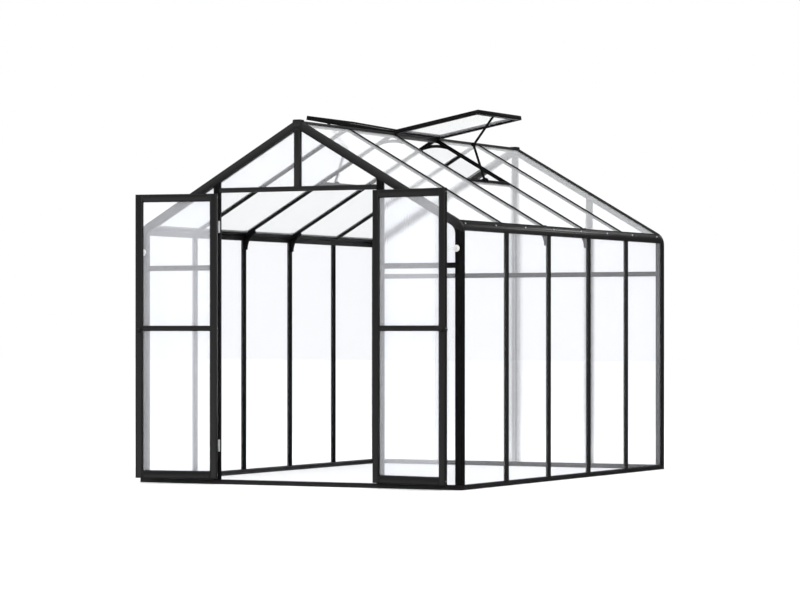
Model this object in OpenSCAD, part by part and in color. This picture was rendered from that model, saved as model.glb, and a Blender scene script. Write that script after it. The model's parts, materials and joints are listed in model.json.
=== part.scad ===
// Greenhouse of slim aluminium frames glazed with twin-wall sheet: a gabled
// house with double doors in the front gable and one vent in each roof slope.
// X runs across the gable, Y from the front to the rear, Z upwards. The origin
// is the middle of the underside of the front sill, in the doorway.

/* [House] */
// Outer width across the gable
house_w = 2440; // [2340:10:2560]
// Outer length of the side walls
house_l = 3480; // [3300:10:3700]
// Height of the roof plane over the outer face of a side wall
eave_h = 1736; // [1700:2:1800]
// Pitch of both roof slopes in degrees
roof_pitch = 30; // [28:0.5:32]
// Number of bays along the house, with the vents in the middle one
bays = 5; // [5:2:7]

/* [Frame sections] */
// Depth of the sills, corner posts and rafters, along Y
frame_d = 45; // [40:1:50]
// Height of the sills
sill_h = 30; // [24:1:36]
// Width of the side sills, along X
sill_w = 45; // [42:1:60]
// Width of the corner posts, along X
post_w = 50; // [45:1:60]
// Depth of the rafters, square to the slope
rafter_h = 52; // [46:1:60]
// Radius of the rounded shoulder at the eaves
shoulder_r = 100; // [84:1:104]
// Radius of the curve inside each gable corner
corner_r = 75; // [50:1:90]
// Thickness of the gable corner brackets
corner_t = 10; // [6:0.5:11]
// Width of the upright members in the gables
stud_w = 45; // [36:1:50]
// Depth of the uprights and rails in the gables
stud_d = 30; // [26:1:36]
// Height of the cross rails in the gables
rail_h = 30; // [24:1:36]
// Distance of the underside of the gable cross rails below the eave height
rail_drop = 292; // [240:2:340]
// Width of the wall mullions, along Y
mullion_w = 40; // [32:1:48]
// Depth of the wall mullions, along X
mullion_d = 21; // [16:1:26]
// Distance of the mullions behind the outer face of the wall
mullion_set = 3; // [0:1:8]
// Width of the foot of the roof bars, along Y
bar_w = 30; // [24:1:36]
// Width of the stem of the roof bars, between the sheets
stem_w = 14; // [10:1:18]
// Depth of the foot of the roof bars
foot_d = 12; // [8:0.5:14]
// Depth of the roof bars, square to the slope
bar_d = 25; // [20:1:30]
// Distance of the roof bars below the roof plane
bar_set = 5; // [3:0.5:8]
// Half width of the ridge beam, down each slope
ridge_s = 35; // [30:1:45]
// Height of the eave beams on their outer side
eave_drop = 48; // [42:1:52]
// Distance of the upper edge of the eave beams below the start of the shoulder
beam_start = 15; // [0:1:20]

/* [Braces] */
// Radius of the curved knee braces at the eaves, to their outer edge
knee_r = 165; // [140:5:180]
// Height of the section of the knee braces
knee_h = 21; // [14:1:26]
// Thickness of the knee braces and ridge arches
brace_t = 8; // [5:1:12]
// Radius of the ridge arches to their upper edge
arch_r = 340; // [300:5:380]
// Height of the ridge arches' section
arch_h = 22; // [16:1:26]
// Drop from the underside of the ridge beam to the crown of an arch
arch_drop = 14; // [10:1:17]

/* [Glazing] */
// Thickness of the twin-wall sheets
sheet_t = 6; // [4:1:10]

/* [Roof vents] */
// Length of a vent sash, down the slope
sash_l = 668; // [600:4:700]
// Thickness of a vent sash
sash_t = 30; // [20:1:34]
// Width of the bars of a vent sash
sash_bar = 28; // [22:1:36]
// Angle of the open sashes above the horizontal
sash_tilt = 10.6; // [9:0.1:12]
// Distance of a sash's inner edge from the ridge line, along X
sash_x = 26; // [20:1:28]
// Width of the cross rail under the free edge of a sash
vent_rail_w = 34; // [28:1:44]
// Distance that the cross rail reaches past the edge of the shut sash
vent_rail_lap = 7; // [0:1:14]
// Distance of an opener's elbow from the straight line between its ends
elbow_out = 125; // [80:5:140]
// Width of the flat arms of an opener
arm_w = 16; // [12:1:20]
// Thickness of the arms
arm_t = 6; // [4:0.5:8]
// Diameter of the clamping knob at the elbow of an opener
elbow_d = 30; // [22:1:40]
// Distance of the openers in front of the middle of the vents
opener_off = 80; // [0:5:200]

/* [Doors] */
// Width of the glazed panels between the door jambs and the corner posts
side_w = 529; // [505:2:565]
// Gap between the door header and the rafters, at the jambs
head_gap = 43; // [20:1:70]
// Thickness of the door leaves
leaf_t = 25; // [20:1:30]
// Width of the stiles and of the top and bottom rails of a leaf
stile_w = 50; // [40:1:60]
// Height of the middle rail of a leaf
leaf_rail_h = 30; // [24:1:40]
// Height of the middle of that rail
leaf_rail_z = 1050; // [1000:2:1200]
// Gap between the two closed leaves
meet_gap = 7; // [7:0.5:12]
// Gap between a leaf and its jamb
side_gap = 5; // [5:0.5:7]
// Gap over the sill and under the header
end_gap = 6; // [5:0.5:10]
// Angle to which the leaves stand open
open_angle = 170; // [150:1:170]

/* [Hinges] */
// Distance of the hinge axis in front of the doorway face
hinge_out = 10; // [10:0.5:14]
// Height of a hinge
hinge_h = 80; // [60:2:100]
// Distance of the lower hinges' middle from the bottom of a leaf
hinge_low_in = 224; // [150:2:300]
// Distance of the upper hinges' middle from the top of a leaf
hinge_high_in = 224; // [150:2:300]
// Diameter of the hinge knuckles
knuckle_d = 15; // [14.5:0.1:15.5]
// Diameter of the hinge pins
pin_d = 6; // [5:0.5:8]
// Clearance round the hinge pins
pin_gap = 0.3; // [0.2:0.05:0.5]
// Gap between neighbouring hinge knuckles
knuckle_gap = 1; // [0.5:0.1:2]
// Thickness of the hinge plates
plate_t = 3; // [2.8:0.1:3.2]
// Width of the hinge plates
plate_w = 30; // [20:1:32]

/* [Knobs and hold-backs] */
// Diameter of the door knobs
knob_d = 28; // [22:1:34]
// Diameter of the neck of the door knobs
knob_neck_d = 14; // [10:1:18]
// Size of the chamfers on the door knobs
knob_edge = 3; // [1:0.5:4]
// Distance that the door knobs stand out
knob_out = 26; // [20:1:34]
// Height of the door knobs
knob_z = 1040; // [1000:2:1100]
// Diameter of the hold-back buttons on the front corner posts
button_d = 46; // [36:1:48]
// Diameter of the front of the tapered buttons
button_front_d = 28; // [20:1:34]
// Thickness of the hold-back buttons
button_t = 14; // [10:1:18]
// Length of the stems that carry the buttons
stem_l = 16; // [14:1:20]
// Distance of the stems from the inner edge of the posts
stem_in = 17; // [12:1:22]
// Distance of the hold-backs below the top of the leaves
button_drop = 389; // [340:2:440]
// Diameter of the hold-back stems and rods
rod_d = 10; // [8:1:12]
// Distance from a hold-back rod to the open leaf
rod_gap = 6; // [5:0.5:10]

/* [Hidden] */
$fn = 48;
eps = 1;
seat = 0.3;
arc_n = 12;
arch_end = 74;
half_w = house_w / 2;
frame_l = house_l - frame_d;
pitch_y = frame_l / bays;
front_y = -frame_d / 2;
post_in = half_w - post_w;
sill_in = half_w - sill_w;
jamb_out = post_in - side_w;
jamb_in = jamb_out - stud_w;
wall_out = half_w - mullion_set;
wall_in = wall_out - mullion_d;
wall_mid = wall_out - mullion_d / 2;
gable_mid = front_y + stud_d / 2;
slope = tan(roof_pitch);
rise = sin(roof_pitch);
run = cos(roof_pitch);
ridge_z = eave_h + half_w * slope;
rafter_v = rafter_h / run;
bar_under = bar_set + bar_d;
eave_under = eave_h - eave_drop;
rail_z = eave_h - rail_drop;
door_h = under_z(jamb_in) - head_gap - rail_h;
vent_k = (bays - 1) / 2;
vent_y0 = vent_k * pitch_y;
vent_y1 = vent_y0 + pitch_y;
// The shoulder turns from the upright wall to the slope of the roof.
shoulder_turn = 90 - roof_pitch;
shoulder_l = shoulder_r * tan(shoulder_turn / 2);
eave_s = (half_w - shoulder_l * run) / run + beam_start;
// The cross rail of a vent lies where the free edge of the shut sash would land.
rail_s1 = sash_x / run + sash_l + vent_rail_lap;
rail_s0 = rail_s1 - vent_rail_w;
sheet_d0 = bar_under - foot_d - sheet_t;
sash_z = ridge_z - sash_x * slope - bar_set / run + seat;
sash_y = vent_y0 - bar_w / 2;
sash_w = pitch_y + bar_w;
opener_y = (vent_y0 + vent_y1) / 2 - opener_off;
hinge_x = jamb_in - side_gap / 2;
hinge_y = front_y - hinge_out;
leaf_x0 = -(jamb_in - side_gap);
leaf_x1 = -meet_gap / 2;
leaf_z0 = sill_h + end_gap;
leaf_z1 = door_h - end_gap;
knob_x = leaf_x1 - stile_w / 2;
button_x = -(post_in + stem_in);
button_z = leaf_z1 - button_drop;
knuckle_h = (hinge_h - 2 * knuckle_gap) / 3;
web_w = knuckle_d - pin_d;
// A hinge plate keeps a little way from the edge of its leaf or jamb.
plate_x = side_gap / 2 + plate_t / 2;
black = [0.16, 0.155, 0.16];
clear = [0.93, 0.96, 0.97, 0.45];
silver = [0.8, 0.8, 0.81];
white = [0.86, 0.86, 0.85];

// Heights of the roof plane and of the rafters' underside over a place across the gable
function top_z(x) = eave_h + (half_w - abs(x)) * slope;
function under_z(x) = top_z(x) - rafter_v;

// Place across the gable of a point at a distance down the slope and a depth square to it
function down_slope(s, d) = [s * run - d * rise, ridge_z - s * rise - d * run];

function arc(c, r, a0, a1) =
    [for (i = [0:arc_n]) let (a = a0 + (a1 - a0) * i / arc_n) [c[0] + r * cos(a), c[1] + r * sin(a)]];

// Right-hand half of the house's outline across the gable, with its rounded shoulder
function outline() = concat(
    [[0, 0], [half_w, 0]],
    arc([half_w - shoulder_r, eave_h - shoulder_l], shoulder_r, 0, shoulder_turn),
    [[0, ridge_z]]
);

function mirrored(points) = [for (i = [len(points) - 1:-1:0]) [-points[i][0], points[i][1]]];

// Curved web in the corner of an upright at x = c[0] and the roof member over it
function web_centre(c, r) = [c[0] - r, c[1] - r * tan(shoulder_turn / 2)];
function corner_web(c, r) = concat([c], arc(web_centre(c, r), r, 0, shoulder_turn));

// The same web, thicker by h on its hollow side, with blunt ends
function blunt_web(c, r, h) =
    let (m = web_centre(c, r))
        concat(
            [c, [c[0], m[1]]],
            arc(m, r - h, 0, shoulder_turn),
            [m + r * [cos(shoulder_turn), sin(shoulder_turn)]]
        );

// Plate in the X-Z plane, from y0 to y1
module plate(y0, y1, points)
    translate([0, y1, 0])
        rotate([90, 0, 0])
            linear_extrude(y1 - y0)
                polygon(points);

// The same plate, kept within the outline of the house
module trimmed_plate(y0, y1, points)
    intersection() {
        plate(y0, y1, points);
        plate(y0 - eps, y1 + eps, outline());
    }

module block(x0, x1, y0, y1, z0, z1)
    translate([x0, y0, z0])
        cube([x1 - x0, y1 - y0, z1 - z0]);

// Block on the right-hand slope: s down the slope, d square to it below the roof plane
module slope_block(s0, s1, y0, y1, d0, d1)
    translate([0, 0, ridge_z])
        rotate([0, roof_pitch, 0])
            block(s0, s1, y0, y1, -d1, -d0);

module left_side() mirror([1, 0, 0]) children();

module both_sides() {
    children();
    left_side() children();
}

// Turns a piece of the front gable into its twin in the rear gable
module at_rear() translate([0, frame_l, 0]) mirror([0, 1, 0]) children();

// Flat bar of a width between two points of the X-Z plane
module flat_bar(p, q, y0, y1, w) {
    v = q - p;
    translate([p[0], 0, p[1]])
        rotate([0, atan2(v[0], v[1]), 0])
            block(-w / 2, w / 2, y0, y1, 0, norm(v));
}

// ---- Sills -------------------------------------------------------------

module front_sill()
    color(black)
        block(-half_w, half_w, front_y, -front_y, 0, sill_h);

module rear_sill() at_rear() front_sill();

module side_sills()
    color(black)
        both_sides()
            block(sill_in, half_w, -front_y, frame_l + front_y, 0, sill_h);

// ---- Gable frames ------------------------------------------------------

// Upright whose head is cut to the underside of the rafters
module upright(x0, x1, z0, y0, y1)
    plate(y0, y1, [[x0, z0], [x1, z0], [x1, under_z(x1)], [x0, under_z(x0)]]);

module front_corner_posts()
    color(black)
        both_sides()
            upright(post_in, half_w, sill_h, front_y, -front_y);

module rear_corner_posts() at_rear() front_corner_posts();

module gable_stud(x0, x1) upright(x0, x1, sill_h, front_y, front_y + stud_d);

module door_jambs() color(black) both_sides() gable_stud(jamb_in, jamb_out);

// Post on the centre line, its head cut to both rafters
module centre_post(z0)
    plate(front_y, front_y + stud_d, [
        [-stud_w / 2, z0],
        [stud_w / 2, z0],
        [stud_w / 2, under_z(stud_w / 2)],
        [0, under_z(0)],
        [-stud_w / 2, under_z(stud_w / 2)]
    ]);

module front_king_post() color(black) centre_post(door_h + rail_h);

module rear_posts()
    at_rear() {
        color(black) centre_post(sill_h);
        door_jambs();
    }

module gable_rail(x0, x1, z) block(x0, x1, front_y, front_y + stud_d, z, z + rail_h);

module door_header() color(black) gable_rail(-jamb_in, jamb_in, door_h);

module front_mid_rails() color(black) both_sides() gable_rail(jamb_out, post_in, rail_z);

module rear_mid_rails()
    color(black)
        at_rear()
            both_sides() {
                gable_rail(stud_w / 2, jamb_in, rail_z);
                gable_rail(jamb_out, post_in, rail_z);
            }

module rafter()
    color(black)
        trimmed_plate(front_y, -front_y, [
            [0, under_z(0)],
            [half_w, under_z(half_w)],
            [half_w, eave_h],
            [0, ridge_z]
        ]);

module front_right_rafter() rafter();
module front_left_rafter() left_side() rafter();
module rear_right_rafter() at_rear() rafter();
module rear_left_rafter() at_rear() left_side() rafter();

module corner_bracket()
    plate(front_y, front_y + corner_t, corner_web([post_in, under_z(post_in)], corner_r));

module gable_corner_brackets()
    color(black) {
        both_sides() corner_bracket();
        at_rear() both_sides() corner_bracket();
    }

// ---- Side walls --------------------------------------------------------

module wall_mullions()
    color(black)
        for (k = [1:bays - 1])
            block(wall_in, wall_out, k * pitch_y - mullion_w / 2, k * pitch_y + mullion_w / 2,
                  sill_h, eave_under);

module right_wall_mullions() wall_mullions();
module left_wall_mullions() left_side() wall_mullions();

// Rounded beam that carries the foot of the roof from one gable to the other
module eave_beam()
    color(black)
        trimmed_plate(-front_y, frame_l + front_y, [
            [wall_in, eave_under],
            [half_w, eave_under],
            [half_w, eave_h],
            down_slope(eave_s, 0),
            down_slope(eave_s, bar_under),
            [wall_in, top_z(wall_in) - bar_under / run]
        ]);

module right_eave_beam() eave_beam();
module left_eave_beam() left_side() eave_beam();

// ---- Roof --------------------------------------------------------------

module ridge_beam() {
    side = [down_slope(ridge_s, bar_under), down_slope(ridge_s, bar_set)];
    color(black)
        plate(-front_y, frame_l + front_y, concat(side, [[0, ridge_z - bar_set / run]], mirrored(side)));
}

// T-shaped bars: a wide foot under the sheets and a narrow stem between them
module roof_bar_part(k, w, d0)
    slope_block(ridge_s, eave_s, k * pitch_y - w / 2, k * pitch_y + w / 2, d0, bar_under);

module roof_bars()
    color(black)
        both_sides()
            for (k = [1:bays - 1]) {
                roof_bar_part(k, bar_w, bar_under - foot_d);
                roof_bar_part(k, stem_w, bar_set);
            }

module braced_bars()
    for (y = [vent_y0, vent_y1])
        translate([0, y, 0])
            children();

// Curved webs that stiffen the joint of each middle mullion and its roof bar
module knee_braces()
    color(black)
        braced_bars()
            both_sides()
                plate(-brace_t / 2, brace_t / 2,
                      blunt_web([wall_in, top_z(wall_in) - bar_under / run], knee_r, knee_h));

// Curved ties under the ridge, from one middle roof bar to the opposite one
module ridge_arches() {
    crown_z = down_slope(ridge_s, bar_under)[1] - arch_drop;
    centre = [0, crown_z - arch_r];
    soffit_z = ridge_z - bar_under / run;
    color(black)
        braced_bars()
            difference() {
                plate(-brace_t / 2, brace_t / 2, concat(
                    arc(centre, arch_r, arch_end, 180 - arch_end),
                    arc(centre, arch_r - arch_h, 180 - arch_end, arch_end)
                ));
                both_sides()
                    plate(-brace_t, brace_t, [
                        [0, soffit_z],
                        [half_w, soffit_z - half_w * slope],
                        [half_w, ridge_z],
                        [0, ridge_z]
                    ]);
            }
}

// ---- Roof vents --------------------------------------------------------

module vent_cross_rails()
    color(black)
        both_sides()
            slope_block(rail_s0, rail_s1, vent_y0 + bar_w / 2, vent_y1 - bar_w / 2, bar_set, bar_under);

// Carries a piece from the flat into the plane of the open right-hand sash
module in_sash()
    translate([sash_x, sash_y, sash_z])
        rotate([0, -sash_tilt, 0])
            children();

module sash_opening(z0, z1)
    block(sash_bar, sash_l - sash_bar, sash_bar, sash_w - sash_bar, z0, z1);

module vent_sash()
    color(black)
        in_sash()
            difference() {
                block(0, sash_l, 0, sash_w, 0, sash_t);
                sash_opening(-eps, sash_t + eps);
            }

module right_vent_sash() vent_sash();
module left_vent_sash() left_side() vent_sash();

module vent_sheets()
    color(clear)
        both_sides()
            in_sash()
                sash_opening((sash_t - sheet_t) / 2, (sash_t + sheet_t) / 2);

// Two flat arms that meet at a clamping knob and hold a sash open over its cross rail
module vent_opener() {
    foot_s = rail_s0 + arm_w;
    foot = down_slope(foot_s, bar_set - arm_w / 2);
    head_l = sash_l - arm_w / 2;
    head = [
        sash_x + head_l * cos(sash_tilt) - sash_t / 2 * sin(sash_tilt),
        sash_z + head_l * sin(sash_tilt) + sash_t / 2 * cos(sash_tilt)
    ];
    along = (head - foot) / norm(head - foot);
    elbow = (head + foot) / 2 + elbow_out * [-along[1], along[0]];
    difference() {
        union() {
            flat_bar(elbow, foot, opener_y - arm_t, opener_y, arm_w);
            flat_bar(elbow, head, opener_y, opener_y + arm_t, arm_w);
            translate([elbow[0], opener_y + 2 * arm_t, elbow[1]])
                rotate([90, 0, 0])
                    cylinder(h = 4 * arm_t, d = elbow_d);
            slope_block(rail_s0, rail_s0 + 2 * arm_w,
                        opener_y - arm_w, opener_y + arm_w, bar_set - arm_t, bar_set);
        }
        in_sash() block(0, sash_l + eps, 0, sash_w, 0, sash_t);
    }
}

module vent_openers() color(black) both_sides() vent_opener();

// ---- Glazing -----------------------------------------------------------

module wall_sheets()
    color(clear)
        for (k = [0:bays - 1]) {
            y0 = k == 0 ? -front_y : k * pitch_y + mullion_w / 2;
            y1 = k == bays - 1 ? frame_l + front_y : (k + 1) * pitch_y - mullion_w / 2;
            block(wall_mid - sheet_t / 2, wall_mid + sheet_t / 2, y0, y1, sill_h, eave_under);
        }

module right_wall_sheets() wall_sheets();
module left_wall_sheets() left_side() wall_sheets();

// One sheet a bay from ridge to eave, and a short one under the vent
module roof_sheets()
    color(clear)
        for (k = [0:bays - 1]) {
            y0 = k == 0 ? -front_y : k * pitch_y + stem_w / 2;
            y1 = k == bays - 1 ? frame_l + front_y : (k + 1) * pitch_y - stem_w / 2;
            slope_block(k == vent_k ? rail_s1 : ridge_s, eave_s, y0, y1, sheet_d0, sheet_d0 + sheet_t);
        }

module right_roof_sheets() roof_sheets();
module left_roof_sheets() left_side() roof_sheets();

// Sheet of a gable, between two uprights and over a rail, under the slope of the rafter
module gable_sheet(x0, x1, z0)
    plate(gable_mid - sheet_t / 2, gable_mid + sheet_t / 2,
          [[x0, z0], [x1, z0], [x1, under_z(x1)], [x0, under_z(x0)]]);

module low_sheet(x0, x1)
    block(x0, x1, gable_mid - sheet_t / 2, gable_mid + sheet_t / 2, sill_h, rail_z);

module front_sheets()
    color(clear)
        both_sides() {
            low_sheet(jamb_out, post_in);
            gable_sheet(jamb_out, post_in, rail_z + rail_h);
            gable_sheet(stud_w / 2, jamb_in, door_h + rail_h);
        }

module rear_sheets()
    color(clear)
        at_rear()
            both_sides() {
                low_sheet(jamb_out, post_in);
                gable_sheet(jamb_out, post_in, rail_z + rail_h);
                low_sheet(stud_w / 2, jamb_in);
                gable_sheet(stud_w / 2, jamb_in, rail_z + rail_h);
            }

// ---- Doors: the left leaf, drawn shut and turned open ---------------------

module swung_open()
    translate([-hinge_x, hinge_y, 0])
        rotate([0, 0, -open_angle])
            translate([hinge_x, -hinge_y, 0])
                children();

// Everything inside the stiles and the end rails of a leaf, between two depths
module leaf_openings(y0, y1) {
    x0 = leaf_x0 + stile_w;
    x1 = leaf_x1 - stile_w;
    block(x0, x1, y0, y1, leaf_z0 + stile_w, leaf_rail_z - leaf_rail_h / 2);
    block(x0, x1, y0, y1, leaf_rail_z + leaf_rail_h / 2, leaf_z1 - stile_w);
}

module door_frame()
    color(black)
        swung_open()
            difference() {
                block(leaf_x0, leaf_x1, front_y, front_y + leaf_t, leaf_z0, leaf_z1);
                leaf_openings(front_y - eps, front_y + leaf_t + eps);
            }

module door_sheets()
    color(clear)
        swung_open()
            leaf_openings(front_y + (leaf_t - sheet_t) / 2, front_y + (leaf_t + sheet_t) / 2);

// Turned knob that stands out along -Y from a face at y = 0
module knob()
    rotate([90, 0, 0])
        rotate_extrude()
            polygon([
                [0, 0],
                [knob_d / 2, 0],
                [knob_d / 2, knob_edge],
                [knob_neck_d / 2, 2 * knob_edge],
                [knob_neck_d / 2, knob_out / 2],
                [knob_d / 2, knob_out / 2 + knob_edge],
                [knob_d / 2, knob_out - knob_edge],
                [knob_d / 2 - knob_edge, knob_out],
                [0, knob_out]
            ]);

module door_knobs()
    color(black)
        swung_open()
            translate([knob_x, 0, knob_z]) {
                translate([0, front_y, 0]) knob();
                translate([0, front_y + leaf_t, 0]) rotate([0, 0, 180]) knob();
            }

// One of the three knuckles of a hinge, with the web that joins it to a plate
module knuckle(i, web_x)
    translate([-hinge_x, hinge_y, i * (knuckle_h + knuckle_gap)]) {
        cylinder(h = knuckle_h, d = knuckle_d);
        translate([web_x, -pin_d / 2, 0])
            cube([web_w, hinge_out + pin_d / 2, knuckle_h]);
    }

// Plate of a hinge, on the face of the leaf or of the jamb
module hinge_plate(x)
    block(x, x + plate_w, front_y - plate_t, front_y, 0, hinge_h);

module at_hinges()
    for (z = [leaf_z0 + hinge_low_in, leaf_z1 - hinge_high_in])
        translate([0, 0, z - hinge_h / 2])
            children();

module moving_hinge_half()
    difference() {
        union() {
            hinge_plate(-hinge_x + plate_x);
            knuckle(1, 0);
        }
        translate([-hinge_x, hinge_y, -eps])
            cylinder(h = hinge_h + 2 * eps, d = pin_d + 2 * pin_gap);
    }

module fixed_hinge_half() {
    hinge_plate(-hinge_x - plate_x - plate_w);
    knuckle(0, -web_w);
    knuckle(2, -web_w);
    translate([-hinge_x, hinge_y, eps])
        cylinder(h = hinge_h - 2 * eps, d = pin_d);
}

module frame_hinge_halves() color(silver) both_sides() at_hinges() fixed_hinge_half();

module door_hinge_halves() color(silver) swung_open() at_hinges() moving_hinge_half();

module left_door_frame() door_frame();
module right_door_frame() left_side() door_frame();
module left_door_sheets() door_sheets();
module right_door_sheets() left_side() door_sheets();
module left_door_hinge_halves() door_hinge_halves();
module right_door_hinge_halves() left_side() door_hinge_halves();
module left_door_knobs() door_knobs();
module right_door_knobs() left_side() door_knobs();

// Button on a corner post, with the rod that reaches out to steady the open leaf
module hold_back() {
    start = [button_x, front_y - stem_l / 2];
    leaf_way = [-cos(180 - open_angle), -sin(180 - open_angle)];
    leaf_face = [-leaf_way[1], leaf_way[0]];
    end = [-hinge_x, hinge_y] + (hinge_out - rod_gap) * leaf_face + (hinge_x + knob_x) * leaf_way;
    reach = end - start;
    translate([0, 0, button_z]) {
        translate([button_x, front_y, 0])
            rotate([90, 0, 0])
                cylinder(h = stem_l, d = rod_d);
        translate([button_x, front_y - stem_l + eps, 0])
            rotate([90, 0, 0])
                cylinder(h = button_t, d1 = button_d, d2 = button_front_d);
        translate([start[0], start[1], 0])
            rotate([90, 0, atan2(reach[0], -reach[1])])
                cylinder(h = norm(reach), d = rod_d);
    }
}

module hold_backs() color(white) both_sides() hold_back();

front_sill();
rear_sill();
side_sills();
front_corner_posts();
rear_corner_posts();
left_wall_mullions();
right_wall_mullions();
left_eave_beam();
right_eave_beam();
door_jambs();
door_header();
front_king_post();
front_mid_rails();
front_left_rafter();
front_right_rafter();
rear_left_rafter();
rear_right_rafter();
rear_posts();
rear_mid_rails();
ridge_beam();
roof_bars();
gable_corner_brackets();
knee_braces();
ridge_arches();
vent_cross_rails();
left_vent_sash();
right_vent_sash();
vent_sheets();
vent_openers();
left_wall_sheets();
right_wall_sheets();
front_sheets();
rear_sheets();
left_roof_sheets();
right_roof_sheets();
frame_hinge_halves();
hold_backs();
left_door_frame();
left_door_sheets();
left_door_hinge_halves();
left_door_knobs();
right_door_frame();
right_door_sheets();
right_door_hinge_halves();
right_door_knobs();
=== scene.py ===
"""Walk-in greenhouse: a slim black aluminium frame glazed with clear twin-wall sheet.

The house is dressed in the order in which it is put together: base, gable frames,
side walls, roof, braces, glazing, roof vents and doors.
"""

import json
import math
from contextlib import contextmanager

import bmesh
import bpy
from mathutils import Matrix, Vector


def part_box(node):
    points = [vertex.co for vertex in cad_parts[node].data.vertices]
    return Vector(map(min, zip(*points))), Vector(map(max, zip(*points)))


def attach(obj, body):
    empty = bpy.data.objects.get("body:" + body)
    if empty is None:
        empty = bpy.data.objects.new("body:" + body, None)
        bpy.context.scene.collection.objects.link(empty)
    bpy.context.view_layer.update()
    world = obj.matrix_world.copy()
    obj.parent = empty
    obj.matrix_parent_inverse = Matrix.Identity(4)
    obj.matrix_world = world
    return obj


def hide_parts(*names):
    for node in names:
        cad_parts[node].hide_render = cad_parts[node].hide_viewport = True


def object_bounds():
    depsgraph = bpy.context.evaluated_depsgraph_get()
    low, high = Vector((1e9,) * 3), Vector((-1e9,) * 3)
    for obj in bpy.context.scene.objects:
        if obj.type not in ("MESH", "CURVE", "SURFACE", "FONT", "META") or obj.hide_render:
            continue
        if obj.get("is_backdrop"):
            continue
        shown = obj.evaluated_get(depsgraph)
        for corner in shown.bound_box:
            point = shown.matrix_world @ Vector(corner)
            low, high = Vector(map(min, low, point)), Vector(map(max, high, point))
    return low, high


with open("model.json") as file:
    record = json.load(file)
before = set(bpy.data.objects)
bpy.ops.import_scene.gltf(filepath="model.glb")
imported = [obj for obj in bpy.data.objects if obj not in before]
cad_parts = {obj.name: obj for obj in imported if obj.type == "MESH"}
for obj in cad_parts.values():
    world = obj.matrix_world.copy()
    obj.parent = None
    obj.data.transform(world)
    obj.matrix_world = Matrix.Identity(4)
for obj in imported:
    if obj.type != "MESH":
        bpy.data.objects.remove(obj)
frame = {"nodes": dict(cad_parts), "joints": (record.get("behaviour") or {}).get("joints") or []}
cad_low, cad_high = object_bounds()


# ---- Studio ---------------------------------------------------------------------
# A pale floor with no edge in sight, a white surround and soft boxes. The gloss of
# the frame picks up mainly what is in front of the house, and stays dark elsewhere.

floor_size = 160.0
floor_drop = 0.0005
floor_white = (0.9, 0.9, 0.9, 1.0)
floor_in_gloss = (0.10, 0.10, 0.10, 1.0)
camera_place = (9.9287, -18.0781, 1.0319)
camera_turn = math.radians(26.897)
camera_lens = 139.25
camera_shift = 0.0388
surround_seen = (1.0, 1.0, 1.0, 1.0)
surround_cast = (1.25, 1.25, 1.25, 1.0)
gloss_from = (0.10, -0.99, 0.10)
gloss_stops = [(0.45, 0.09), (0.98, 0.95)]
clear_layers = 40
soft_boxes = {
    "key_light": {"place": (-7.0, -13.0, 6.0), "size": 6.0, "power": 500.0, "in_gloss": False},
    "top_light": {"place": (1.0, 1.5, 10.0), "size": 8.0, "power": 500.0, "in_gloss": True},
    "rear_light": {"place": (4.0, 16.8, 8.1), "size": 3.0, "power": 70.0, "in_gloss": True},
}


class Wire:
    """An output of a node. Arithmetic on wires adds the Math nodes that work it out."""

    def __init__(self, tree, socket=None):
        self.tree = tree
        self.socket = socket

    def node(self, kind, settings=None, values=None, output=0):
        """Adds a node from its type, its settings and the values or wires of its sockets."""
        made = self.tree.nodes.new("ShaderNode" + kind)
        for name, value in (settings or {}).items():
            if name == "stops":
                for element, (place, level) in zip(made.color_ramp.elements, value):
                    element.position = place
                    element.color = (level, level, level, 1.0)
            else:
                setattr(made, name, value)
        for key, value in (values or {}).items():
            if isinstance(value, Wire):
                self.tree.links.new(value.socket, made.inputs[key])
            else:
                made.inputs[key].default_value = value
        return Wire(self.tree, made.outputs[output]) if made.outputs else None

    def maths(self, operation, *terms):
        return self.node("Math", {"operation": operation}, dict(enumerate(terms)))

    def __add__(self, other):
        return self.maths("ADD", self, other)

    def __sub__(self, other):
        return self.maths("SUBTRACT", self, other)

    def __rsub__(self, other):
        return self.maths("SUBTRACT", other, self)

    def __mul__(self, other):
        return self.maths("MULTIPLY", self, other)

    __radd__ = __add__
    __rmul__ = __mul__

    def along(self, way):
        """How far this place or direction reaches along another direction."""
        return self.node("VectorMath", {"operation": "DOT_PRODUCT"}, {0: self, 1: way}, "Value")

    def blend(self, first, second):
        """Colour that goes from the first to the second as this wire goes from 0 to 1."""
        share, colour_a, colour_b, blended = 0, 6, 7, 2
        colours = {share: self, colour_a: first, colour_b: second}
        return self.node("Mix", {"data_type": "RGBA"}, colours, blended)

    def noise(self, scale, detail):
        """Cloudy pattern from 0 to 1 over the places that this wire gives."""
        pattern = {"Vector": self, "Scale": scale, "Detail": detail}
        return self.node("TexNoise", values=pattern, output="Fac")

    def bump(self, strength, height):
        """Normal of a face on which this pattern stands up by a height."""
        relief = {"Height": self, "Strength": strength, "Distance": height}
        return self.node("Bump", values=relief, output="Normal")


def mirrored_ray(wire):
    """Is 1 for what a glossy face mirrors and 0 for all other light."""
    glossy = wire.node("LightPath", output="Is Glossy Ray")
    return glossy * wire.node("LightPath", output="Is Reflection Ray")


def white_surround():
    """White to the eye, a little brighter as a light, and graded from the front in the gloss."""
    world = bpy.data.worlds.new("white_surround")
    world.use_nodes = True
    world.node_tree.nodes.clear()
    wire = Wire(world.node_tree)
    plain = wire.node("LightPath", output="Is Diffuse Ray").blend(surround_seen, surround_cast)
    facing = wire.node("TexCoord", output="Generated").along(gloss_from)
    gloss = wire.node("ValToRGB", {"stops": gloss_stops}, {"Fac": facing * 0.5 + 0.5})
    shine = wire.node("Background", values={"Color": mirrored_ray(wire).blend(plain, gloss)})
    wire.node("OutputWorld", values={"Surface": shine})
    bpy.context.scene.world = world


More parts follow.
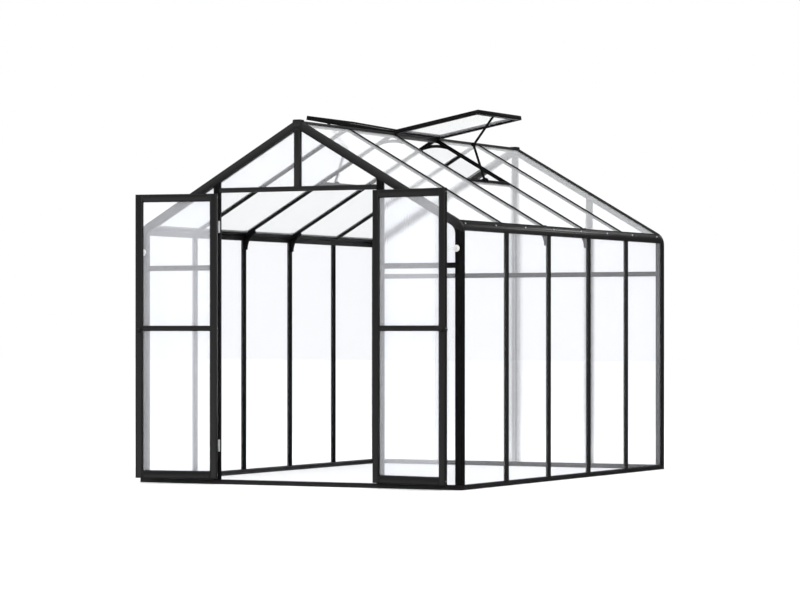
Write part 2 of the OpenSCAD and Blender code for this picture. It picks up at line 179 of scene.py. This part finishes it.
def soft_box(name, place, size, power, in_gloss):
    """Square light that faces the middle of the house."""
    light = bpy.data.lights.new(name, "AREA")
    light.shape = "SQUARE"
    light.size = size
    light.energy = power
    lamp = bpy.data.objects.new(name, light)
    lamp.visible_glossy = in_gloss
    lamp.visible_camera = False
    lamp.location = place
    middle = (cad_low + cad_high) / 2
    lamp.rotation_euler = (middle - Vector(place)).to_track_quat("-Z", "Y").to_euler()
    bpy.context.scene.collection.objects.link(lamp)


def pale_floor():
    bpy.ops.mesh.primitive_plane_add(size=floor_size, location=(0.0, 0.0, -floor_drop))
    floor = bpy.context.object
    floor.name = "floor"
    finish = bpy.data.materials.new("floor_white")
    finish.use_nodes = True
    finish.node_tree.nodes.clear()
    wire = Wire(finish.node_tree)
    white = wire.node("BsdfDiffuse", values={"Color": floor_white})
    dark = wire.node("BsdfDiffuse", values={"Color": floor_in_gloss})
    mixed = wire.node("MixShader", values={0: mirrored_ray(wire), 1: white, 2: dark})
    wire.node("OutputMaterial", values={"Surface": mixed})
    floor.data.materials.append(finish)
    floor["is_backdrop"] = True


def place_camera():
    camera = bpy.data.objects.new("camera", bpy.data.cameras.new("camera"))
    camera.location = camera_place
    camera.rotation_euler = (math.pi / 2, 0.0, camera_turn)
    camera.data.lens = camera_lens
    camera.data.shift_y = camera_shift
    camera.data.clip_end = 2 * floor_size
    bpy.context.scene.collection.objects.link(camera)
    bpy.context.scene.camera = camera


white_surround()
for lamp_name, lamp in soft_boxes.items():
    soft_box(lamp_name, **lamp)
pale_floor()
place_camera()
bpy.context.scene.view_settings.view_transform = "Standard"
bpy.context.scene.cycles.transparent_max_bounces = clear_layers


# ---- Base frame -----------------------------------------------------------------
# Sills of rectangular aluminium tube that lie on the ground all round the house.
# They are powder coated satin black, screwed at the corners, and grooved on top.

coat_black = (0.0062, 0.0058, 0.0064)
coat_roughness = 0.40
coat_grain = 900.0
coat_cloud = 3.0
coat_lighter = 1.25
coat_uneven = 0.1
coat_relief = 0.0002
edge_round = 0.0012
edge_angle = math.radians(40.0)
smooth_angle = math.radians(35.0)
groove_wall = 0.0004
weld_gap = 0.00002
flat_angle = math.radians(0.4)
same_way = 0.99

to_front = (0.0, -1.0, 0.0)
to_rear = (0.0, 1.0, 0.0)
to_right = (1.0, 0.0, 0.0)
to_left = (-1.0, 0.0, 0.0)
to_top = (0.0, 0.0, 1.0)
sill_groove = (0.009, 0.0016)
sill_panel = (0.006, 0.0010)


def only(*pieces):
    """Selects these pieces alone, with the first one active."""
    bpy.ops.object.select_all(action="DESELECT")
    for piece in pieces:
        piece.select_set(True)
    bpy.context.view_layer.objects.active = pieces[0]


@contextmanager
def editing(piece):
    """Opens the piece in edit mode, with faces to select, and closes it afterwards."""
    only(piece)
    bpy.ops.object.mode_set(mode="EDIT")
    bpy.ops.mesh.select_mode(type="FACE")
    yield
    bpy.ops.object.mode_set(mode="OBJECT")


def choose(piece, test):
    """Selects the faces of the piece in edit mode that pass a test."""
    bpy.ops.mesh.select_all(action="DESELECT")
    cage = bmesh.from_edit_mesh(piece.data)
    cage.normal_update()
    for face in cage.faces:
        if test(face):
            face.select_set(True)
    bmesh.update_edit_mesh(piece.data)


def copy_of(name, node):
    """Copies a CAD piece, with its corners merged and every flat face made whole."""
    piece = bpy.data.objects.new(name, frame["nodes"][node].data.copy())
    piece.data.materials.clear()
    bpy.context.scene.collection.objects.link(piece)
    only(piece)
    if piece.data.has_custom_normals:
        bpy.ops.mesh.customdata_custom_splitnormals_clear()
    with editing(piece):
        bpy.ops.mesh.select_all(action="SELECT")
        bpy.ops.mesh.remove_doubles(threshold=weld_gap)
        bpy.ops.mesh.dissolve_limited(angle_limit=flat_angle)
    return piece


def faces_to(way):
    """Test for faces that point in a direction."""
    way = Vector(way).normalized()
    return lambda face: face.normal.dot(way) > same_way


def recess(piece, test, margin, depth):
    """Sinks a long shallow panel into the chosen faces, as an extrusion has."""
    with editing(piece):
        choose(piece, test)
        bpy.ops.mesh.inset(thickness=margin)
        bpy.ops.mesh.inset(thickness=groove_wall, depth=-depth)


def finished(piece, finish, body="house", edge=edge_round, segments=2, replaced=()):
    """Rounds the piece's edges, gives it its finish and its body, and hides the CAD parts that it
    replaces.
    """
    only(piece)
    if edge:
        rounding = piece.modifiers.new("edges", "BEVEL")
        rounding.width = edge
        rounding.segments = segments
        rounding.limit_method = "ANGLE"
        rounding.angle_limit = edge_angle
        bpy.ops.object.modifier_apply(modifier=rounding.name)
    bpy.ops.object.shade_smooth_by_angle(angle=smooth_angle)
    piece.data.materials.clear()
    piece.data.materials.append(finish)
    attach(piece, body)
    if replaced:
        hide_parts(*replaced)


def new_finish(name):
    """New material, with the places on a piece as a wire and a way to set its surface."""
    finish = bpy.data.materials.new(name)
    finish.use_nodes = True
    shader = finish.node_tree.nodes["Principled BSDF"]

    def surface(**sockets):
        for key, value in sockets.items():
            socket = shader.inputs[key.replace("_", " ")]
            if isinstance(value, Wire):
                finish.node_tree.links.new(value.socket, socket)
            else:
                socket.default_value = value

    spot = Wire(finish.node_tree).node("TexCoord", output="Object")
    return finish, spot, surface


def shaded(colour, share):
    """The colour made lighter or darker by a share."""
    return tuple(share * part for part in colour[:3]) + (1.0,)


def powder_coat(name, shade, shine, roughness=coat_roughness):
    """Fine-grained coating, as dark as a share of coat_black, that clouds a little."""
    finish, spot, surface = new_finish(name)
    cloud = spot.noise(coat_cloud, detail=3.0)
    dark = shaded(coat_black, shade)
    surface(
        Base_Color=cloud.blend(dark, shaded(dark, coat_lighter)),
        Roughness=roughness + (cloud - 0.5) * coat_uneven,
        Normal=spot.noise(coat_grain, detail=2.0).bump(strength=0.12, height=coat_relief),
        Specular_IOR_Level=shine,
    )
    return finish


coat = powder_coat("satin_black_powder_coat", shade=1.0, shine=0.45)


def bar(node, panels=(), edge=edge_round, finish=coat):
    """Dresses one CAD bar in powder coat; panels are (direction, margin, depth)."""
    piece = copy_of(node + "_profile", node)
    for way, margin, depth in panels:
        recess(piece, faces_to(way), margin, depth)
    finished(piece, finish, edge=edge, replaced=[node])


bar("front_sill", [(to_top, *sill_groove), (to_front, *sill_panel)])
bar("rear_sill", [(to_top, *sill_groove), (to_rear, *sill_panel)])
bar("side_sills", [(to_top, *sill_groove), (to_left, *sill_panel), (to_right, *sill_panel)])


# ---- Gable frames ---------------------------------------------------------------
# Corner posts and rafters of one deep extrusion carry lighter studs and rails, cut
# square and fixed from inside. All but the rafters have a shallow panel in each
# outer face. Front posts, jambs and mid rails get a darker, less glossy copy of the
# coat, which is painted shade: they read dark where they stand in shade.

post_panel = (0.009, 0.0010)
stud_panel = (0.008, 0.0010)
post_sides = [(to_left, *post_panel), (to_right, *post_panel)]

# Painted shade: a darker, less glossy copy of the coat for parts that read dark in shade.
painted_shade_coat = powder_coat("painted_shade_black_powder_coat", shade=0.75, shine=0.06)
# Painted shade: the same coat with less sheen, so that the rear corner posts read darker.
half_shade_coat = powder_coat("half_shade_black_powder_coat", shade=1.0, shine=0.20)

bar("front_corner_posts", [(to_front, *post_panel), *post_sides], finish=painted_shade_coat)
bar("rear_corner_posts", [(to_rear, *post_panel), *post_sides], finish=half_shade_coat)
for rafter in ("front_left_rafter", "front_right_rafter", "rear_left_rafter", "rear_right_rafter"):
    bar(rafter)
for stud in ("door_jambs", "front_mid_rails"):
    bar(stud, [(to_front, *stud_panel)], finish=painted_shade_coat)
for stud in ("front_king_post", "door_header"):
    bar(stud, [(to_front, *stud_panel)])
for stud in ("rear_posts", "rear_mid_rails"):
    bar(stud, [(to_rear, *stud_panel)])


# ---- Ridge caps -----------------------------------------------------------------
# Small moulded plates that cover the joint of the rafters at both ends of the ridge.
# They are coated like the frame and screwed on from inside the roof.

cap_half = 0.032
cap_drop = 0.050
cap_proud = 0.0015
cap_shy = 0.0002
cap_round = 0.010
cap_round_steps = 5
cap_panel = (0.006, 0.0006)
ridge_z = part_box("front_left_rafter")[1].z


def block(name, low, high):
    """Adds a block between two corners, with its place in its mesh."""
    low, high = Vector(low), Vector(high)
    bpy.ops.mesh.primitive_cube_add(size=1.0, location=(low + high) / 2, scale=high - low)
    bpy.ops.object.transform_apply(location=True, rotation=True, scale=True)
    piece = bpy.context.object
    piece.name = name
    return piece


def round_top(piece, top, width):
    """Rounds the two edges of a block that run along Y at its top."""
    with editing(piece):
        bpy.ops.mesh.select_mode(type="EDGE")
        bpy.ops.mesh.select_all(action="DESELECT")
        cage = bmesh.from_edit_mesh(piece.data)
        for edge in cage.edges:
            one, other = (corner.co for corner in edge.verts)
            runs_along_y = (one - other).xz.length < weld_gap
            edge.select_set(runs_along_y and abs(one.z - top) < weld_gap)
        bmesh.update_edit_mesh(piece.data)
        bpy.ops.mesh.bevel(offset=width, segments=cap_round_steps, profile=0.5)


for gable, cap_front in (("front", -cap_proud), ("rear", cap_shy)):
    rafter_low, rafter_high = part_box(gable + "_left_rafter")
    cap = block(
        gable + "_ridge_cap",
        (-cap_half, rafter_low.y + cap_front, ridge_z - cap_drop),
        (cap_half, rafter_high.y - cap_shy, ridge_z),
    )
    round_top(cap, ridge_z, cap_round)
    recess(cap, faces_to(to_front), *cap_panel)
    finished(cap, coat)


# ---- Side walls -----------------------------------------------------------------
# Glazing bars with an open bolt channel on the inside stand between the sill and the
# eave beam. They are aluminium extrusions, bolted through the channel at both ends.

channel = (0.010, 0.0060)
bar_panel = (0.007, 0.0008)

bar("right_wall_mullions", [(to_left, *channel), (to_right, *bar_panel)])
# The left wall's bars get the darker coat: painted shade on the wall away from the light.
bar("left_wall_mullions", [(to_right, *channel), (to_left, *bar_panel)], finish=painted_shade_coat)


# ---- Eave beams -----------------------------------------------------------------
# One rounded extrusion a side, with two shallow bands along its bend, that carries
# the feet of the roof bars. A row of zinc-plated button-head screws holds it down.
# Its outer face is an arc that touches the wall and the slope of the roof.

beam_bands = [((4.0, 30.0), 0.0025, 0.0014), ((36.0, 58.0), 0.0022, 0.0012)]
beam_screws = 8
beam_screw_ends = (0.04, 0.06)
beam_screw_turn = math.radians(32.5)
roof_pitch = math.radians(30.0)
shoulder_r = 0.100
shoulder_x = cad_high.x - shoulder_r
shoulder_z = ridge_z - math.tan(roof_pitch) * (cad_high.x + shoulder_r)
fine_edge = 0.0006
screw_d = 0.011
screw_head = [(-0.1, 0.5), (0.08, 0.5), (0.22, 0.42), (0.30, 0.28), (0.30, 0.17), (0.14, 0.16)]
screw_sides = 20


def turned(name, steps, sides):
    """Turns a round piece about Z through steps of (height, radius), from foot to top."""
    foot, foot_radius = steps[0]
    bpy.ops.mesh.primitive_circle_add(vertices=sides, radius=foot_radius, fill_type="NGON")
    piece = bpy.context.object
    piece.name = name
    piece.data.transform(Matrix.Translation((0.0, 0.0, foot)))
    with editing(piece):
        bpy.ops.mesh.select_all(action="SELECT")
        for (low, wide), (high, narrow) in zip(steps, steps[1:]):
            bpy.ops.mesh.extrude_region_move(TRANSFORM_OT_translate={"value": (0.0, 0.0, high - low)})
            share = narrow / wide
            bpy.ops.transform.resize(value=(share, share, 1.0), center_override=(0.0, 0.0, high))
        bpy.ops.mesh.select_all(action="SELECT")
        bpy.ops.mesh.normals_make_consistent(inside=False)
    return piece


def sized(steps, size):
    """Steps of (height, radius) that were given as shares of a size."""
    return [(size * height, size * radius) for height, radius in steps]


def joined(pieces):
    only(*pieces)
    if len(pieces) > 1:
        bpy.ops.object.join()
    return pieces[0]


def set_out(piece, spots):
    """Puts copies of a piece at spots of (place, direction), as one piece, and drops the first."""
    copies = []
    for place, way in spots:
        copy = bpy.data.objects.new(piece.name, piece.data.copy())
        turn = Vector(to_top).rotation_difference(Vector(way)).to_matrix().to_4x4()
        copy.data.transform(Matrix.Translation(place) @ turn)
        bpy.context.scene.collection.objects.link(copy)
        copies.append(copy)
    bpy.data.objects.remove(piece)
    return joined(copies)


def bright_metal(name, colour, roughness, stretch):
    """Bright metal with fine marks; stretch squeezes the marks along each axis."""
    finish, spot, surface = new_finish(name)
    streak = spot.node("Mapping", values={"Vector": spot, "Scale": stretch}).noise(scale=60.0, detail=4.0)
    surface(
        Base_Color=colour,
        Metallic=0.75,
        Roughness=roughness + streak * 0.15,
        Normal=streak.bump(strength=0.2, height=0.0001),
    )
    return finish


beam_coat = powder_coat("smooth_black_powder_coat", shade=1.0, shine=0.45, roughness=0.24)
zinc = bright_metal("zinc_plated_steel", (0.80, 0.80, 0.82, 1.0), 0.30, (1.0, 1.0, 1.0))


def screws(name, spots, size=screw_d, body="house"):
    """Button-head screws with a round socket, each with its foot just in the bar."""
    screw = turned(name, sized(screw_head, size), screw_sides)
    finished(set_out(screw, spots), zinc, body, edge=0.0)


def faces_round(side, low, high):
    """Test for faces of a beam along Y whose outward slope lies between two angles."""
    def test(face):
        slope = math.degrees(math.atan2(face.normal.z, face.normal.x * side))
        return abs(face.normal.y) < 0.5 and low < slope < high
    return test


# The left beam gets the darker coat, painted shade on the side away from the light; the right one gets a
# smoother coat for a sharper highlight from the rear lamp.
for side_name, side, beam_finish in (("left", -1.0, painted_shade_coat), ("right", 1.0, beam_coat)):
    node = side_name + "_eave_beam"
    beam = copy_of(node + "_profile", node)
    for turns, margin, depth in beam_bands:
        recess(beam, faces_round(side, *turns), margin, depth)
    finished(beam, beam_finish, edge=fine_edge, replaced=[node])
    beam_low, beam_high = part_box(node)
    way = (side * math.cos(beam_screw_turn), 0.0, math.sin(beam_screw_turn))
    screw_x = side * shoulder_x + shoulder_r * way[0]
    screw_z = shoulder_z + shoulder_r * way[2]
    start = beam_low.y + beam_screw_ends[0]
    step = (beam_high.y - beam_screw_ends[1] - start) / (beam_screws - 1)
    screws(node + "_screws", [((screw_x, start + k * step, screw_z), way) for k in range(beam_screws)])


# ---- Roof frame -----------------------------------------------------------------
# The ridge beam, the sloping glazing bars and the cross rails of the vents, screwed
# to the rafters and to each other. The bars have the same bolt channel below.

slope_out = (math.sin(roof_pitch), 0.0, math.cos(roof_pitch))
slope_in = (-math.sin(roof_pitch), 0.0, -math.cos(roof_pitch))


def both_slopes(way, panel):
    """A panel on the faces of the right slope and on those of the left one."""
    return [(way, *panel), ((-way[0], way[1], way[2]), *panel)]


# The roof bars get the darker coat: painted shade, as they read dark under the roof.
bar("roof_bars", both_slopes(slope_out, bar_panel) + both_slopes(slope_in, channel), finish=painted_shade_coat)
bar("vent_cross_rails", both_slopes(slope_out, bar_panel))
bar("ridge_beam")


# ---- Braces ---------------------------------------------------------------------
# Curved plates that stiffen the corners: pressed brackets in the gables, webs at the
# eaves and ties under the ridge. They are coated like the frame.

plate_edge = 0.0008

bar("gable_corner_brackets", edge=plate_edge)
# Knee braces and ridge arches get the darker coat: painted shade under the roof.
bar("knee_braces", edge=plate_edge, finish=painted_shade_coat)
bar("ridge_arches", edge=plate_edge, finish=painted_shade_coat)


# ---- Glazing --------------------------------------------------------------------
# Sheets of twin-wall polycarbonate with fine flutes that run upright in the walls
# and down the slope of the roof. They are clear but milky, and blur what is far.

sheet_tint = (0.96, 0.97, 1.0, 1.0)
roof_tint = (0.94, 0.95, 0.96, 1.0)
sheet_roughness = 0.03
flute_pitch = 0.021
flute_depth = 0.0012


def twin_wall(name, across, scattered, bent, bend, tint=sheet_tint):
    """Twin-wall sheet: the shares of light that a face scatters and bends, and by how much."""
    finish, spot, surface = new_finish(name)
    turn = spot.along(across) * (2 * math.pi / flute_pitch)
    surface(
        Base_Color=tint,
        Alpha=scattered + bent,
        Roughness=sheet_roughness,
        IOR=bend,
        Transmission_Weight=bent / (scattered + bent),
        Normal=turn.maths("SINE", turn).bump(strength=1.0, height=flute_depth),
    )
    return finish


def glaze(node, finish):
    sheets = frame["nodes"][node].data
    sheets.materials.clear()
    sheets.materials.append(finish)


side_sheet = twin_wall("twin_wall_side", to_rear, scattered=0.08, bent=0.60, bend=1.003)
roof_sheet = twin_wall("twin_wall_roof", to_rear, scattered=0.19, bent=0.56, bend=1.0012, tint=roof_tint)
vent_sheet = twin_wall("twin_wall_vent", to_rear, scattered=0.16, bent=0.20, bend=1.002, tint=roof_tint)
gable_sheet = twin_wall("twin_wall_gable", to_right, scattered=0.10, bent=0.50, bend=1.005)
house_sheets = {
    "left_wall_sheets": side_sheet, "right_wall_sheets": side_sheet,
    "front_sheets": gable_sheet, "rear_sheets": gable_sheet,
    "left_roof_sheets": roof_sheet, "right_roof_sheets": roof_sheet, "vent_sheets": vent_sheet,
}
for sheet, finish in house_sheets.items():
    glaze(sheet, finish)


# ---- Seals ----------------------------------------------------------------------
# Thin black rubber strips that press on both faces of every sheet along its edges.
# Each is one closed ring, pushed into the frame before the sheet is.

seal_w = 0.0030
seal_t = 0.0016
side_face_share = 0.15


def rubber_like(name, colour, roughness):
    """Matt rubber or plastic with a fine speckle, worn a little lighter in places."""
    finish, spot, surface = new_finish(name)
    worn = spot.noise(scale=12.0, detail=2.0)
    surface(
        Base_Color=worn.blend(colour, shaded(colour, 1.3)),
        Roughness=roughness + worn * 0.1,
        Normal=spot.noise(scale=400.0, detail=3.0).bump(strength=0.15, height=0.0002),
        Specular_IOR_Level=0.3,
    )
    return finish


rubber = rubber_like("black_rubber", (0.012, 0.012, 0.012, 1.0), 0.6)


def seals(node, body="house"):
    """Rings of rubber strip on the two large faces of each sheet of a node."""
    piece = copy_of(node + "_seals", node)
    narrow = side_face_share * max(face.area for face in piece.data.polygons)
    with editing(piece):
        choose(piece, lambda face: face.calc_area() <= narrow)
        bpy.ops.mesh.delete(type="FACE")
        bpy.ops.mesh.select_all(action="SELECT")
        bpy.ops.mesh.inset(thickness=seal_w, use_individual=True)
        bpy.ops.mesh.delete(type="FACE")
    only(piece)
    strip = piece.modifiers.new("strip", "SOLIDIFY")
    strip.thickness = seal_t
    strip.offset = 1.0
    bpy.ops.object.modifier_apply(modifier=strip.name)
    finished(piece, rubber, body, edge=0.0)


for sheet in house_sheets:
    seals(sheet)
for side in ("left", "right"):
    seals(side + "_door_sheets", side + "_door")


# ---- Roof vents -----------------------------------------------------------------
# Two sashes hinged in a bead at the ridge and held open by a pair of flat arms each,
# which a clamping knob locks. They have no motor, and stand open as they are set.

sash_tilt = math.radians(10.6)
sash_panel = (0.006, 0.0010)
bead_r = 0.0065
bead_end_r = 0.8 * bead_r
bead_chamfer = 0.001
bead_rise = 0.002
bead_sides = 20
clamp_d = 0.036
clamp_lobes = 8
clamp_notch = 0.0035
clamp_steps = [
    (0.0, 0.30), (0.10, 0.30), (0.13, 0.46), (0.18, 0.5),
    (0.38, 0.5), (0.44, 0.44), (0.46, 0.25),
]
boss_rim = 0.0003


def every_second_grip(face):
    """Test for every second upright face round the grip of a clamping knob."""
    middle = face.calc_center_median()
    on_grip = abs(face.normal.z) < 0.1 and middle.xy.length > 0.4 * clamp_d
    turn = math.atan2(middle.y, middle.x) / (2 * math.pi)
    return on_grip and math.floor(2 * clamp_lobes * turn) % 2 == 0


# The sashes get the darker coat: painted shade, as they are seen from below.
for side_name, side in (("left", -1.0), ("right", 1.0)):
    node = side_name + "_vent_sash"
    above = (-side * math.sin(sash_tilt), 0.0, math.cos(sash_tilt))
    below = (side * math.sin(sash_tilt), 0.0, -math.cos(sash_tilt))
    bar(node, [(above, *sash_panel), (below, *sash_panel)], finish=painted_shade_coat)
    sash_low, sash_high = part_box(node)
    length = sash_high.y - sash_low.y
    steps = [
        (0.0, bead_end_r), (bead_chamfer, bead_r),
        (length - bead_chamfer, bead_r), (length, bead_end_r),
    ]
    bead = turned(side_name + "_vent_bead", steps, bead_sides)
    hinge_x = side * min(abs(sash_low.x), abs(sash_high.x))
    bead = set_out(bead, [((hinge_x, sash_low.y, sash_low.z + bead_rise), to_rear)])
    finished(bead, coat, edge=0.0)

# Openers and clamping knobs get the darker coat as well: painted shade.
bar("vent_openers", edge=fine_edge, finish=painted_shade_coat)

clamp = turned("vent_clamp_knobs", sized(clamp_steps, clamp_d), 2 * clamp_lobes)
with editing(clamp):
    choose(clamp, every_second_grip)
    bpy.ops.mesh.inset(thickness=groove_wall, depth=-clamp_notch, use_individual=True)
rear_of_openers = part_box("vent_openers")[1].y
boss_rims = []
for side in (-1.0, 1.0):
    rim = [
        corner.co for corner in frame["nodes"]["vent_openers"].data.vertices
        if corner.co.y > rear_of_openers - boss_rim and corner.co.x * side > 0.0
    ]
    boss_rims.append((sum(rim, Vector()) / len(rim), to_rear))
finished(set_out(clamp, boss_rims), painted_shade_coat, edge=fine_edge)


# ---- Doors ----------------------------------------------------------------------
# Each leaf is two full-height stiles with three rails between them, butted and
# screwed through the stiles. It is made shut and then swung open about its hinge.

leaf_panel = (0.0085, 0.0011)
butt_gap = 0.0005
edge_screw_d = 0.006
least_bar = 0.001


def door_joint(side):
    return next(joint for joint in frame["joints"] if joint["name"] == side + "_door_hinge")


def shut_to_open(side):
    """Turn of a leaf about its hinge line, from shut to its place at rest."""
    joint = door_joint(side)
    pivot = Vector(joint["pos_m"])
    angle = math.radians(joint["range_deg"][1]) * joint["axis"][2]
    return Matrix.Translation(pivot) @ Matrix.Rotation(-angle, 4, "Z") @ Matrix.Translation(-pivot)


def swung(opened, place, way):
    """Where a spot of (place, direction) on a shut leaf goes when the leaf is opened."""
    return opened @ Vector(place), opened.to_3x3() @ Vector(way)


def corners_shut(node, opened):
    """Corners of a leaf's node when it is shut."""
    return [opened.inverted() @ corner.co for corner in frame["nodes"][node].data.vertices]


def box_shut(node, opened):
    """Lowest and highest corners of a leaf's node when it is shut."""
    corners = corners_shut(node, opened)
    return [Vector(end(corner[axis] for corner in corners) for axis in range(3)) for end in (min, max)]


def bars_shut(node, opened, axis):
    """Where the bars of a shut leaf start and end along X (0) or Z (2), as pairs."""
    sides = []
    for place in sorted(corner[axis] for corner in corners_shut(node, opened)):
        if not sides or place - sides[-1] > least_bar:
            sides.append(place)
    return list(zip(sides[::2], sides[1::2]))


for side in ("left", "right"):
    node = side + "_door_frame"
    body = side + "_door"
    opened = shut_to_open(side)
    low, high = box_shut(node, opened)
    (left_edge, left_inner), (right_inner, right_edge) = bars_shut(node, opened, 0)
    rails = bars_shut(node, opened, 2)
    parts = []
    for x0, x1 in ((left_edge, left_inner - butt_gap), (right_inner + butt_gap, right_edge)):
        parts.append(block(node + "_bars", (x0, low.y, low.z), (x1, high.y, high.z)))
    for z0, z1 in rails:
        parts.append(block(node + "_bars", (left_inner, low.y, z0), (right_inner, high.y, z1)))
    leaf = joined(parts)
    recess(leaf, faces_to(to_front), *leaf_panel)
    recess(leaf, faces_to(to_rear), *leaf_panel)
    leaf.data.transform(opened)
    finished(leaf, coat, body, replaced=[node])
    across = tuple(opened.to_3x3() @ Vector(to_right))
    leaf_sheet = twin_wall("twin_wall_" + body, across, scattered=0.165, bent=0.62, bend=1.009)
    glaze(body + "_sheets", leaf_sheet)
    middle_y = (low.y + high.y) / 2
    spots = []
    for x, way in ((left_edge, to_left), (right_edge, to_right)):
        for z0, z1 in rails:
            spots.append(swung(opened, (x, middle_y, (z0 + z1) / 2), way))
    screws(body + "_screws", spots, edge_screw_d, body)


# ---- Hinges ---------------------------------------------------------------------
# Two aluminium butt hinges a leaf, with three knuckles on a steel pin, brushed along
# their height. Button-head screws hold one plate to the leaf and one to the jamb.

hinge_edge = 0.0005
hinge_half = 0.040
plate_out = 0.0030
plate_mid = 0.0205
plate_rise = 0.025
plate_screw_d = 0.007
brushed = bright_metal("brushed_aluminium", (0.78, 0.78, 0.79, 1.0), 0.35, (6.0, 6.0, 0.4))

for node, body in {
    "frame_hinge_halves": "house",
    "left_door_hinge_halves": "left_door",
    "right_door_hinge_halves": "right_door",
}.items():
    plates = copy_of(node + "_plates", node)
    finished(plates, brushed, body, edge=hinge_edge, replaced=[node])

for side, outward in (("left", -1.0), ("right", 1.0)):
    opened = shut_to_open(side)
    pin_x = door_joint(side)["pos_m"][0]
    low, high = box_shut(side + "_door_hinge_halves", opened)
    middles = (low.z + hinge_half, high.z - hinge_half)
    heights = [middle + rise for middle in middles for rise in (-plate_rise, plate_rise)]
    face_y = box_shut(side + "_door_frame", opened)[0].y - plate_out
    jamb_x = pin_x + outward * plate_mid
    leaf_x = pin_x - outward * plate_mid
    on_jamb = [((jamb_x, face_y, z), to_front) for z in heights]
    on_leaf = [swung(opened, (leaf_x, face_y, z), to_front) for z in heights]
    screws(side + "_jamb_hinge_screws", on_jamb, plate_screw_d)
    screws(side + "_leaf_hinge_screws", on_leaf, plate_screw_d, side + "_door")


# ---- Door knobs -----------------------------------------------------------------
# A turned black plastic knob on both faces of each leaf. One screw through the stile
# draws the pair together.

knob_sides = 40
knob_steps = [
    (0.0, 0.0140), (0.0022, 0.0140), (0.0030, 0.0132), (0.0048, 0.0082), (0.0075, 0.0070),
    (0.0120, 0.0072), (0.0150, 0.0115), (0.0172, 0.0137), (0.0195, 0.0140), (0.0225, 0.0137),
    (0.0248, 0.0122), (0.0258, 0.0090), (0.0260, 0.0050), (0.0254, 0.0046),
]
black_plastic = rubber_like("black_plastic", (0.010, 0.010, 0.011, 1.0), 0.35)

for side in ("left", "right"):
    node = side + "_door_knobs"
    opened = shut_to_open(side)
    low, high = box_shut(node, opened)
    leaf_low, leaf_high = box_shut(side + "_door_frame", opened)
    middle = (low + high) / 2
    spots = [
        swung(opened, (middle.x, leaf_low.y, middle.z), to_front),
        swung(opened, (middle.x, leaf_high.y, middle.z), to_rear),
    ]
    knobs = set_out(turned(node + "_turned", knob_steps, knob_sides), spots)
    finished(knobs, black_plastic, side + "_door", edge=0.0, replaced=[node])


# ---- Hold-backs -----------------------------------------------------------------
# White plastic buttons on the corner posts. A rod reaches from each to the open leaf
# and keeps it from swinging against the glazing.

white_plastic = rubber_like("white_plastic", (0.62, 0.62, 0.61, 1.0), 0.35)
buttons = copy_of("hold_backs_moulded", "hold_backs")
finished(buttons, white_plastic, segments=3, replaced=["hold_backs"])


low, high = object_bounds()
